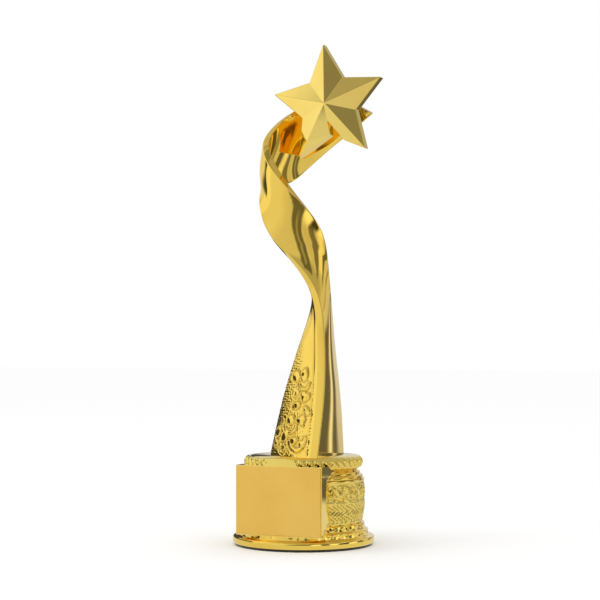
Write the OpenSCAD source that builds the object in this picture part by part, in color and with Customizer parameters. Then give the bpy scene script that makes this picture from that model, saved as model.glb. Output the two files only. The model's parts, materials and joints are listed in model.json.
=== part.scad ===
// Star trophy: a five-pointed star on the end of a twisted ribbon, which stands on a
// stepped round base with a square nameplate block in front.
// Millimetres. +Z is up, the nameplate faces -Y, and the origin is the middle of the
// felt's underside, on the axis of the round base.

/* [Overall] */
// Diameter of the foot, which also spreads the whole column and the ribbon
foot_d = 79; // [72:1:90]
// Height of the ribbon's design rise above the base
ribbon_rise = 200; // [180:1:230]

/* [Foot] */
// Thickness of the felt under the foot
felt_t = 1.2; // [0.8:0.1:2]
// Thickness of the steel cover in the foot's underside
cover_t = 2; // [1.5:0.1:2.4]
// Height of the foot's rounded flange
flange_h = 4.1; // [3.6:0.1:5]
// Height of the foot's lower step
lower_step_h = 3.8; // [3.2:0.1:4.5]
// Height of the foot's upper step
upper_step_h = 3.7; // [3.4:0.1:4.5]
// Thickness of the foot's web, which the tie rod clamps
web_t = 2; // [1.6:0.1:2.4]

/* [Column] */
// Height of the carved drum
drum_h = 24.2; // [22:0.1:30]
// Thickness of the drum's deck
deck_t = 3; // [2.5:0.1:4]
// Height of the stepped neck ring
neck_h = 5.7; // [5:0.1:7]
// Height of the cap
cap_h = 6.7; // [6:0.1:9]
// Height of the ballast weight
ballast_h = 10; // [6:0.5:11]

/* [Nameplate block] */
// Width of the block
block_w = 51; // [42:0.5:54]
// Height of the block
block_h = 38; // [34:0.5:39]
// Thickness of the block in front of the column's flat
block_front_t = 2.2; // [2:0.1:4]
// Thickness of the nameplate
plate_t = 0.8; // [0.5:0.1:1.2]
// Margin between the nameplate and the block's edges
plate_margin = 0.5; // [0.3:0.1:2]

/* [Ribbon] */
// Thickness of the ribbon
ribbon_t = 4; // [3:0.1:4.5]
// Scale of the swell of the ribbon's outer face between its edges
ribbon_swell = 1; // [0.6:0.1:1.2]

/* [Star] */
// Radius of the circle through the star's tips
star_r = 33.8; // [30:0.1:36]
// Inner radius as a share of the tip radius
star_waist = 0.503; // [0.45:0.001:0.55]
// Radius where the notch between the lower arms ends, as a share of the tip radius
star_notch = 0.28; // [0.27:0.01:0.35]
// Depth of the star's side walls
star_side = 5; // [4.5:0.1:6]
// Height of the star's apex above its side walls
star_apex = 5.7; // [4.5:0.1:7]
// Lean of the star's top tip, degrees
star_lean = 5; // [0:0.5:8]
// Share of the star's outline that its cavity takes
star_hollow = 0.87; // [0.82:0.01:0.9]

/* [Fixings] */
// Diameter of the tie rod
rod_d = 5; // [4:0.5:5]
// How far the tie rod reaches into the ribbon
rod_grip = 16; // [12:0.5:18]
// Diameter of the small screws
screw_d = 3; // [2.5:0.1:3]
// Diameter of the locating pins
pin_d = 4; // [3:0.5:4]
// Clearance all round where a piece drops into another
fit_gap = 0.1; // [0.05:0.05:0.2]

/* [Hidden] */
$fn = 96;
eps = 0.01;
cut = 1;

// Everything in plan is drawn for a foot of this diameter and scaled from it
spread = foot_d / 79;
rise = ribbon_rise / 200;

// Heights of the stack, from the floor up
cover_z = felt_t;
cavity_z = cover_z + cover_t;
flange_z = felt_t + flange_h;
lower_step_z = flange_z + lower_step_h;
web_z = lower_step_z + upper_step_h;
drum_z = web_z + drum_h;
neck_z = drum_z + neck_h;
cap_z = neck_z + cap_h;

// Plan radii of the foot
foot_r = foot_d / 2;
felt_r = foot_r - 1.4;
cover_r = 33.8 * spread;
cavity_r = 24 * spread;
lower_step_r = 36.1 * spread;
upper_step_r = 34.2 * spread;
cover_screw_r = 29 * spread;
cover_screw_len = 6.5;
cover_head_r = 3;
cover_head_h = 1.6;

// Plan radii of the column
drum_r = 34.6 * spread;
drum_bottom_in = 1.9 * spread;
drum_top_in = 0.7 * spread;
drum_belly = 0.72;
drum_steps = 10;
drum_bore_r = 28 * spread;
neck_low_r = 33.2 * spread;
neck_high_r = 31.6 * spread;
groove_r = 29.8 * spread;
neck_bore_r = 24 * spread;
cap_r = 33.2 * spread;
cap_roll = 2.2;
spigot_h = 3;

// The flat that the nameplate block is screwed to
flat_y = 31 * spread;
block_z = felt_t + 6.3;
block_back_y = 16 * spread;
block_front_y = flat_y + block_front_t;
block_screw_x = 17 * spread;
block_screw_z = 29.5;
block_seat_y = 24.5 * spread;
block_screw_end = 0.7;

// Tie rod and its nut under the web
rod_r = rod_d / 2;
rod_hole_r = rod_r + 0.25;
rod_top_z = cap_z + rod_grip;
rod_washer_t = 1.2;
rod_washer_r = 7.5;
lock_washer_t = 1.2;
lock_washer_r = 4.4;
nut_h = 3.6;
nut_flat = 1.6 * rod_d;
rod_washer_z = web_z - web_t - rod_washer_t;
lock_washer_z = rod_washer_z - lock_washer_t;
nut_z = lock_washer_z - nut_h;
rod_bottom_z = nut_z - 0.3;
insert_r = rod_r + 1.5;
insert_len = rod_grip + 2;

// Locating pins between the cap and the ribbon's foot
pin_r = pin_d / 2;
pin_len = 8;
pin_spots = [[12 * spread, -12 * spread], [10 * spread, 12 * spread]];

// The ribbon's rails for a foot of 79 and a rise of 200, measured from the cap's top.
// Each station holds a point of the leading edge, the point of the trailing edge across
// from it, how deep the ribbon's inner side reaches behind its outer face, and how far
// the outer face swells between the edges.
STATIONS = [
    [[17.5, -21, 0], [14.5, 24, 0], 35, 1],
    [[18.5, -14, 31], [14, 21, 31], 29, 1],
    [[17, -9, 58.5], [12.5, 16.5, 58.5], 19.5, 1],
    [[13.5, -5, 81], [12.5, 12, 81], 10.5, 1],
    [[8, -5.5, 96], [12, 9, 100.5], 5, 1],
    [[-3.5, -9.5, 110], [12, 5.5, 115.5], ribbon_t, 1.2],
    [[-12.5, -12.5, 119], [10.5, 0.5, 126.5], ribbon_t, 1.5],
    [[-19.5, -12.5, 130.5], [6, -6, 135.5], ribbon_t, 2],
    [[-23.5, -9, 142], [-3, -12.5, 147], ribbon_t, 2.4],
    [[-25, -2.5, 148.5], [-13, -16, 159.5], ribbon_t, 2.8],
    [[-23, 5, 151.5], [-19.5, -14, 171.5], ribbon_t, 3.2],
    [[-15.5, 13.5, 154.5], [-18.5, -5, 182], ribbon_t, 3],
    [[-7, 16.5, 161], [-11.5, 4, 191.5], ribbon_t, 2.4],
    [[5, 19, 170.5], [4, 10.5, 199.5], ribbon_t, 1.6],
    [[17, 19.5, 179], [14.5, 12, 199.5], ribbon_t, 1],
    [[33.5, 20.5, 192], [20.5, 13.5, 199.5], ribbon_t, 0.6]
];
last_station = len(STATIONS) - 1;
station_steps = 4;
outer_steps = 6;
inner_steps = 12;
ring_size = outer_steps + inner_steps + 2;
ridge_at = 0.6;
ridge_power = 1.6;
level_stations = 3;

// Star and the boss that carries it
star_x = 14.4 * spread;
star_y = 1 * spread;
star_z = cap_z + 195 * rise;
star_wall = 1.4;
star_back_y = star_y + star_side;
back_t = 1.6;
hub_r = 4.4;
// Outline corner that carries the notch, its share of the next edge, and the corners in all
notch_at = 5;
notch_width = 0.4;
star_sides = 12;
hub_h = star_side + 0.9;
star_boss_r = 4.5;
star_boss_end_y = 18 * spread;
star_screw_r = screw_d / 2;
star_insert_r = star_screw_r + 1.1;
star_insert_len = 5;
star_washer_r = 3.8;
star_washer_t = 0.6;
star_head_r = 2.8;
star_head_h = 2;

// ---------------------------------------------------------------- helpers

// A round bar or hole standing on z
module post(r, z, h) {
    translate([0, 0, z])
        cylinder(r = r, h = h);
}

// A round bar or hole along +Y from the given y
module bar_y(r, x, y, z, length) {
    translate([x, y, z])
        rotate([-90, 0, 0])
            cylinder(r = r, h = length, $fn = 48);
}

// Copies its children at four even places round the axis
module four_around(radius) {
    for (quarter = [45 : 90 : 315])
        rotate([0, 0, quarter])
            translate([radius, 0, 0])
                children();
}

// ---------------------------------------------------------------- foot

// Felt glued under the foot
module felt_pad() {
    color("darkgreen")
        post(felt_r, 0, felt_t);
}

// Steel disc that closes the foot's underside
module base_cover() {
    color("silver")
        difference() {
            post(cover_r, cover_z, cover_t);
            four_around(cover_screw_r) {
                post(screw_d / 2 + 0.2, cover_z - cut, cover_t + 2 * cut);
                translate([0, 0, cover_z])
                    cylinder(r1 = cover_head_r, r2 = screw_d / 2, h = cover_head_h);
            }
        }
}

// Four countersunk screws that hold the cover
module cover_screws() {
    color("dimgray")
        four_around(cover_screw_r)
            union() {
                translate([0, 0, cover_z])
                    cylinder(r1 = cover_head_r, r2 = screw_d / 2, h = cover_head_h);
                post(screw_d / 2, cover_z, cover_screw_len);
            }
}

// Steps of the foot above the flange, grown outwards by a clearance
module foot_steps(grow) {
    post(lower_step_r + grow, flange_z, lower_step_h);
    post(upper_step_r + grow, lower_step_z, upper_step_h);
}

// The space in front of the column's flat, from the block's lower edge up
module flat_space(top_z) {
    translate([-foot_r, -foot_d, block_z])
        cube([foot_d, foot_d - flat_y, top_z - block_z]);
}

// Stepped casting with a rounded flange, a recess for the cover and a web for the rod
module foot() {
    edge_r = flange_h / 2;
    color("gold")
        difference() {
            union() {
                translate([0, 0, felt_t + edge_r])
                    rotate_extrude()
                        translate([foot_r - edge_r, 0])
                            circle(r = edge_r, $fn = 48);
                post(foot_r - edge_r, felt_t, flange_h);
                foot_steps(0);
            }
            post(cover_r + fit_gap, felt_t - cut, cover_t + cut);
            post(cavity_r, cavity_z - cut, web_z - web_t - cavity_z + cut);
            post(rod_hole_r, web_z - web_t - cut, web_t + 2 * cut);
            four_around(cover_screw_r)
                post(screw_d / 2, cavity_z - cut, cover_screw_len - cover_t + cut);
            flat_space(web_z + cut);
        }
}

// Iron ring that gives the base its weight
module ballast_weight() {
    color("slategray")
        difference() {
            post(drum_bore_r - 1, web_z, ballast_h);
            post(rod_hole_r, web_z - cut, ballast_h + 2 * cut);
        }
}

// ---------------------------------------------------------------- column

// Radius of the drum at a share of its height: a belly near the top that draws in below
function drum_radius(share) =
    share < drum_belly
        ? drum_r - drum_bottom_in * pow(1 - share / drum_belly, 2)
        : drum_r - drum_top_in * pow((share - drum_belly) / (1 - drum_belly), 2);

// Solid barrel of the drum, grown outwards by a clearance
module drum_barrel(grow) {
    side = [for (step = [0 : drum_steps])
        let (share = step / drum_steps)
        [drum_radius(share) + grow, web_z + share * drum_h]];
    rotate_extrude()
        polygon(concat([[0, web_z]], side, [[0, drum_z]]));
}

// Solid rings of the neck, grown outwards by a clearance
module neck_rings(grow) {
    low_h = 0.42 * neck_h;
    high_h = 0.3 * neck_h;
    post(neck_low_r + grow, drum_z, low_h);
    post(neck_high_r + grow, drum_z + low_h, high_h);
    post(groove_r + grow, drum_z + low_h + high_h, neck_h - low_h - high_h);
}

// Solid cap with a rounded rim, grown outwards by a clearance
module cap_disc(grow) {
    roll_x = cap_r - cap_roll + grow;
    post(roll_x, neck_z, cap_h);
    post(cap_r + grow, neck_z + cap_roll, cap_h - 2 * cap_roll);
    for (z = [neck_z + cap_roll, cap_z - cap_roll])
        translate([0, 0, z])
            rotate_extrude()
                translate([roll_x, 0])
                    circle(r = cap_roll, $fn = 48);
}

// The column's whole outside, for coping the block to it
module column_outside(grow) {
    foot_steps(grow);
    drum_barrel(grow);
    neck_rings(grow);
    cap_disc(grow);
}

// Seat inside the drum for a screw that holds the block
module block_screw_seats() {
    for (side = [-1, 1]) {
        bar_y(screw_d + 0.1, side * block_screw_x, -block_seat_y, block_screw_z, block_seat_y);
        bar_y(screw_d / 2 + 0.2, side * block_screw_x, -foot_r, block_screw_z, foot_r);
    }
}

// Carved hollow barrel with a deck at the top
module drum() {
    color("goldenrod")
        difference() {
            drum_barrel(0);
            post(drum_bore_r, web_z - cut, drum_h - deck_t + cut);
            post(rod_hole_r, drum_z - deck_t - cut, deck_t + 2 * cut);
            intersection() {
                block_screw_seats();
                translate([-foot_r, -foot_d, web_z])
                    cube([foot_d, foot_d, drum_h]);
            }
            flat_space(drum_z + cut);
        }
}

// Stepped ring between the drum and the cap
module neck_ring() {
    color("gold")
        difference() {
            neck_rings(0);
            post(neck_bore_r, drum_z - cut, neck_h + 2 * cut);
            flat_space(neck_z + cut);
        }
}

// Cap that the ribbon stands on, with a spigot in the neck ring
module top_cap() {
    color("gold")
        difference() {
            union() {
                cap_disc(0);
                post(neck_bore_r - fit_gap, neck_z - spigot_h, spigot_h + cut);
            }
            post(rod_hole_r, neck_z - spigot_h - cut, spigot_h + cap_h + 2 * cut);
            for (spot = pin_spots)
                translate([spot.x, spot.y, 0])
                    post(pin_r, cap_z - pin_len / 2, pin_len / 2 + cut);
            flat_space(cap_z + cut);
        }
}

// ---------------------------------------------------------------- nameplate block

// Block in front of the column, coped to its steps and screwed to its flat
module plaque_block() {
    color("gold")
        difference() {
            translate([-block_w / 2, -block_front_y, block_z])
                cube([block_w, block_front_y - block_back_y, block_h]);
            difference() {
                column_outside(fit_gap);
                flat_space(cap_z + cut);
            }
            for (side = [-1, 1])
                bar_y(screw_d / 2, side * block_screw_x, -block_front_y + block_screw_end,
                      block_screw_z, block_front_y - block_seat_y);
        }
}

// Thin blank plate on the block's face
module nameplate() {
    color("goldenrod")
        translate([-block_w / 2 + plate_margin, -block_front_y - plate_t, block_z + plate_margin])
            cube([block_w - 2 * plate_margin, plate_t, block_h - 2 * plate_margin]);
}

// Two screws from inside the drum into the block
module block_screws() {
    head_h = 2;
    shank = block_front_y - block_screw_end - block_seat_y;
    color("dimgray")
        for (side = [-1, 1])
            union() {
                bar_y(screw_d - 0.2, side * block_screw_x, -block_seat_y, block_screw_z, head_h);
                bar_y(screw_d / 2, side * block_screw_x, -block_seat_y - shank,
                      block_screw_z, shank + cut);
            }
}

// ---------------------------------------------------------------- tie rod

// Threaded rod that clamps the stack to the ribbon
module tie_rod() {
    color("silver")
        post(rod_r, rod_bottom_z, rod_top_z - rod_bottom_z);
}

// Wide washer under the foot's web
module rod_washer() {
    color("silver")
        difference() {
            post(rod_washer_r, rod_washer_z, rod_washer_t);
            post(rod_hole_r, rod_washer_z - cut, rod_washer_t + 2 * cut);
        }
}

// Spring washer with its slit, between the wide washer and the nut
module lock_washer() {
    slit = 0.8;
    color("dimgray")
        difference() {
            post(lock_washer_r, lock_washer_z, lock_washer_t);
            post(rod_hole_r, lock_washer_z - cut, lock_washer_t + 2 * cut);
            translate([0, -slit / 2, lock_washer_z - cut])
                cube([lock_washer_r + cut, slit, lock_washer_t + 2 * cut]);
        }
}

// Hexagon nut at the rod's lower end
module rod_nut() {
    color("silver")
        difference() {
            translate([0, 0, nut_z])
                cylinder(r = nut_flat / sqrt(3), h = nut_h, $fn = 6);
            post(rod_r, nut_z - cut, nut_h + 2 * cut);
        }
}

// Two dowels that stop the ribbon turning on the cap
module locating_pins() {
    color("silver")
        for (spot = pin_spots)
            translate([spot.x, spot.y, 0])
                post(pin_r, cap_z - pin_len / 2, pin_len);
}

// Brass insert in the ribbon's foot for the tie rod
module stem_insert() {
    color("peru")
        difference() {
            post(insert_r, cap_z, insert_len);
            post(rod_r, cap_z - cut, rod_grip + cut);
        }
}

// ---------------------------------------------------------------- ribbon

// Smooth value between b and c, with a and d as the neighbours beyond them
function smooth(a, b, c, d, t) =
    0.5 * (2 * b + (c - a) * t + (2 * a - 5 * b + 4 * c - d) * t * t
           + (3 * b - a - 3 * c + d) * t * t * t);

// A column of the station table at a place along the ribbon, counted in stations
function along(place, field) =
    let (i = min(floor(place), last_station - 1),
         before = STATIONS[max(i - 1, 0)][field],
         after = STATIONS[min(i + 2, last_station)][field])
    smooth(before, STATIONS[i][field], STATIONS[i + 1][field], after, place - i);

// Edge points in the trophy's own frame
function edge_point(place, field) =
    let (p = along(place, field))
    [p.x * spread, p.y * spread, cap_z + p.z * rise];

function unit(v) = v / norm(v);

// Direction out of the ribbon's outer face, kept level where the stem meets the cap
function outward(place) =
    let (back = max(place - 0.05, 0),
         ahead = min(place + 0.05, last_station),
         run = edge_point(ahead, 0) + edge_point(ahead, 1)
               - edge_point(back, 0) - edge_point(back, 1),
         n = cross(edge_point(place, 1) - edge_point(place, 0), run))
    unit([n.x, n.y, n.z * min(place / level_stations, 1)]);

// Height of the inner side's ridge, 0 at the edges and 1 at the ridge
function ridge(share) =
    1 - pow(abs(share - ridge_at) / (share < ridge_at ? ridge_at : 1 - ridge_at), ridge_power);

// One ring of points round the ribbon: the outer face, then back along the inner side
function ribbon_ring(place) =
    let (lead = edge_point(place, 0),
         trail = edge_point(place, 1),
         out = outward(place),
         swell = ribbon_swell * along(place, 3),
         deep = max(along(place, 2) * spread, ribbon_t) - ribbon_t)
    concat(
        [for (k = [0 : outer_steps])
            let (share = k / outer_steps)
            lead + (trail - lead) * share + out * swell * sin(180 * share)],
        [for (k = [0 : inner_steps])
            let (share = k / inner_steps)
            trail + (lead - trail) * share
            + out * (swell * sin(180 * share) - ribbon_t - deep * ridge(share))]
    );

// The ribbon's closed skin
module ribbon_skin() {
    rings = last_station * station_steps;
    points = [for (r = [0 : rings]) each ribbon_ring(r / station_steps)];
    bottom = [for (k = [0 : ring_size - 1]) k];
    top = [for (k = [ring_size - 1 : -1 : 0]) rings * ring_size + k];
    walls = [for (r = [0 : rings - 1], k = [0 : ring_size - 1])
        let (a = r * ring_size + k,
             b = r * ring_size + (k + 1) % ring_size)
        each [[a, a + ring_size, b + ring_size], [a, b + ring_size, b]]];
    polyhedron(points = points, faces = concat([bottom, top], walls));
}

// Seat for the star where the ribbon passes close behind it: the star's outline with the fit
// clearance, from the star's back forwards
module star_seat() {
    in_star_frame()
        translate([0, 0, -star_side])
            linear_extrude(height = star_side + star_apex)
                offset(delta = fit_gap)
                    polygon(star_outside());
}

// The twisted ribbon with the boss behind the star
module ribbon() {
    color("gold")
        difference() {
            union() {
                ribbon_skin();
                bar_y(star_boss_r, star_x, star_back_y, star_z, star_boss_end_y - star_back_y);
            }
            star_seat();
            post(insert_r, cap_z - cut, insert_len + cut);
            for (spot = pin_spots)
                translate([spot.x, spot.y, 0])
                    post(pin_r, cap_z - cut, pin_len / 2 + cut);
            bar_y(star_screw_r + 0.2, star_x, star_back_y - cut, star_z,
                  star_boss_end_y - star_back_y + 2 * cut);
        }
}

// ---------------------------------------------------------------- star

// Point of the star's frame at a turn counted in corners and a share of the tip radius
function star_point(turn, share) =
    let (angle = 90 + star_lean + 36 * turn)
    star_r * share * [cos(angle), sin(angle)];

// Point part of the way from one point to another
function between(a, b, share) = a + (b - a) * share;

// Tips and waists in turn
function star_corners(share) =
    [for (k = [0 : 9]) star_point(k, share * (k % 2 == 0 ? 1 : star_waist))];

// The outer outline, with a notch cut from the lowest waist into the arm beside it
function star_outside() =
    let (corner = star_corners(1))
    concat([for (k = [0 : notch_at]) corner[k]],
           [star_point(notch_at, star_notch),
            between(corner[notch_at], corner[notch_at + 1], notch_width)],
           [for (k = [notch_at + 1 : 9]) corner[k]]);

// The cavity's outline, which keeps a wall's thickness inside the notch
function star_inside(share) =
    let (corner = star_corners(share),
         inmost = star_point(notch_at - 0.1, share * (star_notch - 0.01)))
    concat([for (k = [0 : notch_at - 1]) corner[k]],
           [between(corner[notch_at - 1], inmost, 0.7),
            inmost,
            between(inmost, corner[notch_at + 1], 0.3)],
           [for (k = [notch_at + 1 : 9]) corner[k]]);

// An outline's corners at a height
function star_ring(outline, z) = [for (p = outline) [p.x, p.y, z]];

// The outer outline along the facets' lower edge: the notch's inner end lies up on the facets
function star_edge() =
    let (outline = star_outside())
    [for (k = [0 : star_sides - 1])
        [outline[k].x, outline[k].y,
         k == notch_at + 1 ? star_apex * (1 - star_notch / star_waist) : 0]];

// Quads between two rings, as pairs of triangles
function star_band(a, b) =
    [for (k = [0 : star_sides - 1])
        let (next = (k + 1) % star_sides)
        each [[a + k, a + next, b + next], [a + k, b + next, b + k]]];

// Facets from the edge up to the apex. The facet before the notch is split where the notch ends on it
function star_facets(apex) =
    concat([for (k = [0 : star_sides - 1])
               if (k != notch_at - 1 && k != notch_at)
                   [(k + 1) % star_sides, k, apex]],
           [[notch_at, notch_at - 1, notch_at + 1],
            [notch_at + 1, notch_at - 1, apex]]);

// Places its children in the star's frame: +Z of the child faces the viewer
module in_star_frame() {
    translate([star_x, star_y, star_z])
        rotate([90, 0, 0])
            children();
}

// Hollow front shell: side walls, facets up to the apex, and the same inside
module star_front() {
    rings = concat(star_edge(),
                   star_ring(star_outside(), -star_side),
                   star_ring(star_inside(star_hollow), -star_side),
                   star_ring(star_inside(star_hollow), -star_wall));
    apexes = [[0, 0, star_apex], [0, 0, star_apex - star_wall - 0.2]];
    ceiling = 3 * star_sides;
    apex = 4 * star_sides;
    inner_facets = [for (k = [0 : star_sides - 1])
                       [ceiling + k, ceiling + (k + 1) % star_sides, apex + 1]];
    color("gold")
        in_star_frame()
            polyhedron(
                points = concat(rings, apexes),
                faces = concat(star_facets(apex),
                               star_band(0, star_sides),
                               star_band(star_sides, 2 * star_sides),
                               star_band(2 * star_sides, ceiling),
                               inner_facets)
            );
}

// Plate that closes the star's back, with a hub for the insert
module star_back() {
    color("gold")
        in_star_frame()
            difference() {
                union() {
                    translate([0, 0, -star_side])
                        linear_extrude(height = back_t)
                            polygon(star_inside(star_hollow - 0.006));
                    post(hub_r, -star_side, hub_h);
                }
                post(star_insert_r, -star_side - cut, star_insert_len + cut);
            }
}

// Threaded insert in the hub
module star_insert() {
    color("peru")
        difference() {
            bar_y(star_insert_r, star_x, star_back_y - star_insert_len, star_z,
                  star_insert_len);
            bar_y(star_screw_r, star_x, star_back_y - star_insert_len + 0.6, star_z,
                  star_insert_len);
        }
}

// Washer on the boss, behind the ribbon
module star_washer() {
    color("silver")
        difference() {
            bar_y(star_washer_r, star_x, star_boss_end_y, star_z, star_washer_t);
            bar_y(star_screw_r + 0.2, star_x, star_boss_end_y - cut, star_z,
                  star_washer_t + 2 * cut);
        }
}

// Screw that holds the star, put in from behind the ribbon
module star_screw() {
    tip_y = star_back_y - star_insert_len + 1;
    head_y = star_boss_end_y + star_washer_t;
    color("silver")
        union() {
            bar_y(star_screw_r, star_x, tip_y, star_z, head_y - tip_y + eps);
            bar_y(star_head_r, star_x, head_y, star_z, star_head_h);
        }
}

// ---------------------------------------------------------------- the trophy

felt_pad();
base_cover();
cover_screws();
foot();
ballast_weight();
drum();
neck_ring();
top_cap();
plaque_block();
nameplate();
block_screws();
tie_rod();
rod_washer();
lock_washer();
rod_nut();
ribbon();
stem_insert();
locating_pins();
star_front();
star_back();
star_insert();
star_washer();
star_screw();
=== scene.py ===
"""Star trophy: the looks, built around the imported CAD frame. Metres in Blender; the shaping below is in
millimetres and is scaled once, in add_mesh(). The nameplate faces -Y and +Z is up."""

import json
import math

import bpy
import numpy as np
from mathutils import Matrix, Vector

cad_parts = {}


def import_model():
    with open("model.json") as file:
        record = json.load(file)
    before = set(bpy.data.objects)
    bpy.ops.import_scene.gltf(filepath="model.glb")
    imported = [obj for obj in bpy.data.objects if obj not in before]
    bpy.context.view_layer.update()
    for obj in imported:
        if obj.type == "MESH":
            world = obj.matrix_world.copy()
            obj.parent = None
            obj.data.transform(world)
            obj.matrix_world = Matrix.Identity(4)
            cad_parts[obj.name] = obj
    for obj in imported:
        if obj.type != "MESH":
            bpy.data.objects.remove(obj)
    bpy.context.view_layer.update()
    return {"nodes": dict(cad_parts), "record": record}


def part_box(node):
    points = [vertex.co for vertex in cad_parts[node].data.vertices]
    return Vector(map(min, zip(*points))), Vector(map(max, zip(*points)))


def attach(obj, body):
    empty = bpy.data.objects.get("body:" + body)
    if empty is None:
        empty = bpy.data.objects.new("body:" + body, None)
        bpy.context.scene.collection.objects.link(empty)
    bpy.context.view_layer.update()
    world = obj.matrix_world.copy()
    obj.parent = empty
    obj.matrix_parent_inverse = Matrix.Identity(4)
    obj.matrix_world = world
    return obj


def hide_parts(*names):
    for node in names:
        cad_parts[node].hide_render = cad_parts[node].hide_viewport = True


MM = 0.001

# The ribbon's rails, as in the CAD: leading edge, trailing edge, depth of the inner side, swell of the
# outer face. Millimetres, heights above the cap's top.
RIBBON_T = 4.0
STATIONS = [
    [(17.5, -21, 0), (14.5, 24, 0), 35, 1],
    [(18.5, -14, 31), (14, 21, 31), 29, 1],
    [(17, -9, 58.5), (12.5, 16.5, 58.5), 19.5, 1],
    [(13.5, -5, 81), (12.5, 12, 81), 10.5, 1],
    [(8, -5.5, 96), (12, 9, 100.5), 5, 1],
    [(-3.5, -9.5, 110), (12, 5.5, 115.5), RIBBON_T, 1.2],
    [(-12.5, -12.5, 119), (10.5, 0.5, 126.5), RIBBON_T, 1.5],
    [(-19.5, -12.5, 130.5), (6, -6, 135.5), RIBBON_T, 2],
    [(-23.5, -9, 142), (-3, -12.5, 147), RIBBON_T, 2.4],
    [(-25, -2.5, 148.5), (-13, -16, 159.5), RIBBON_T, 2.8],
    [(-23, 5, 151.5), (-19.5, -14, 171.5), RIBBON_T, 3.2],
    [(-15.5, 13.5, 154.5), (-18.5, -5, 182), RIBBON_T, 3],
    [(-7, 16.5, 161), (-11.5, 4, 191.5), RIBBON_T, 2.4],
    [(5, 19, 170.5), (4, 10.5, 199.5), RIBBON_T, 1.6],
    [(17, 19.5, 179), (14.5, 12, 199.5), RIBBON_T, 1],
    [(33.5, 20.5, 192), (20.5, 13.5, 199.5), RIBBON_T, 0.6],
]
LEAD, TRAIL, DEPTH, SWELL = range(4)
RIDGE_AT = 0.6
RIDGE_POWER = 1.6
LEVEL_STATIONS = 3
FAIR_STEPS = 100
PANEL_TOP = 3.1

# Star: tip radius, then waist and notch as shares of it, in its own frame
STAR_TIP = 33.8
STAR_WAIST = 0.503
STAR_NOTCH = 0.28
STAR_HOLLOW = 0.87
STAR_SIDE = 5.0
STAR_APEX = 5.7
STAR_WALL = 1.4
STAR_LEAN = 5
NOTCH_AT = 5

# Boss behind the star, and the ribbon's clearance beside the star
BOSS_R = 4.5
BOSS_BORE = 1.7
SEAT_GAP = 0.2
SEAT_SLOPE = 2

# Base: radii in plan, heights of the foot's parts, and how often the carving repeats
ROD_BORE = 2.75
FLANGE_H = 4.1
LOWER_STEP_H = 3.8
LOWER_STEP_R = 36.1
UPPER_STEP_R = 34.2
BELLY_R = 34.6
BELLY_AT = 0.72
DRUM_BORE = 28
DECK_T = 3
COLUMN_R = 33.2
RIM_ROLL = 2.9
SCALLOPS = 10
SCROLLS = 14
ROPE_STRANDS = 44
ROPE_VEINS = 132

# Edges steeper than this many degrees stay sharp, and points on each rounded corner
SHARP_ANGLE = 50
FILLET_POINTS = 5

# Camera: level distance and height, the way it faces, and its lens
CAMERA_AZIMUTH = 24
CAMERA_DISTANCE = 860
CAMERA_HEIGHT = 110
CAMERA_LENS = 92.4
CAMERA_SHIFT = (-0.0058, 0.0775)


# ------------------------------------------------------------------ frame measures

def cad_mm(node):
    """Lowest and highest corner of a CAD node, in millimetres."""
    low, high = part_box(node)
    return np.array(low) / MM, np.array(high) / MM


# ------------------------------------------------------------------ mesh helpers

def add_mesh(name, points, faces, material, nodes):
    """A piece from points in millimetres that rides on the trophy and stands for CAD nodes."""
    mesh = bpy.data.meshes.new(name)
    mesh.from_pydata((np.asarray(points) * MM).tolist(), [], faces)
    mesh.validate()
    mesh.polygons.foreach_set("use_smooth", [True] * len(mesh.polygons))
    mesh.materials.append(material)
    piece = bpy.data.objects.new(name, mesh)
    bpy.context.scene.collection.objects.link(piece)
    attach(piece, "root")
    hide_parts(*nodes)
    return piece


def grid_faces(rows, columns, wrap_rows=False):
    """Quads of a grid of rows of points, each row a closed ring."""
    faces = []
    for r in range(rows if wrap_rows else rows - 1):
        here, there = r * columns, (r + 1) % rows * columns
        for c in range(columns):
            after = (c + 1) % columns
            faces.append((here + c, here + after, there + after, there + c))
    return faces


def sharpen(piece):
    """Marks steep edges as sharp, so that flats stay flat."""
    piece.data.set_sharp_from_angle(angle=math.radians(SHARP_ANGLE))


def soften_edges(piece, width, degrees=25):
    """Rounds a piece's corners with a bevel and keeps its flats flat."""
    bevel = piece.modifiers.new("rounded_edges", "BEVEL")
    bevel.width = width * MM
    bevel.segments = 4
    bevel.limit_method = "ANGLE"
    bevel.angle_limit = math.radians(degrees)
    weighted = piece.modifiers.new("flat_faces", "WEIGHTED_NORMAL")
    weighted.keep_sharp = True


def fillet(corner, before, after, radius):
    """Points that round a corner between its two neighbours, as a short curve."""
    corner, before, after = (np.asarray(p, float) for p in (corner, before, after))
    reach = [min(radius, 0.45 * np.linalg.norm(p - corner)) for p in (before, after)]
    start = corner + (before - corner) / np.linalg.norm(before - corner) * reach[0]
    end = corner + (after - corner) / np.linalg.norm(after - corner) * reach[1]
    t = np.linspace(0, 1, FILLET_POINTS)[:, None]
    return (1 - t) ** 2 * start + 2 * t * (1 - t) * corner + t ** 2 * end


def rounded_profile(corners):
    """A closed outline of (radius, height, fillet) corners as a list of (radius, height) points."""
    points = []
    for k, (r, z, f) in enumerate(corners):
        if f == 0:
            points.append((r, z))
            continue
        before = corners[k - 1][:2]
        after = corners[(k + 1) % len(corners)][:2]
        points.extend(map(tuple, fillet((r, z), before, after, f)))
    return np.array(points)


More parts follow.
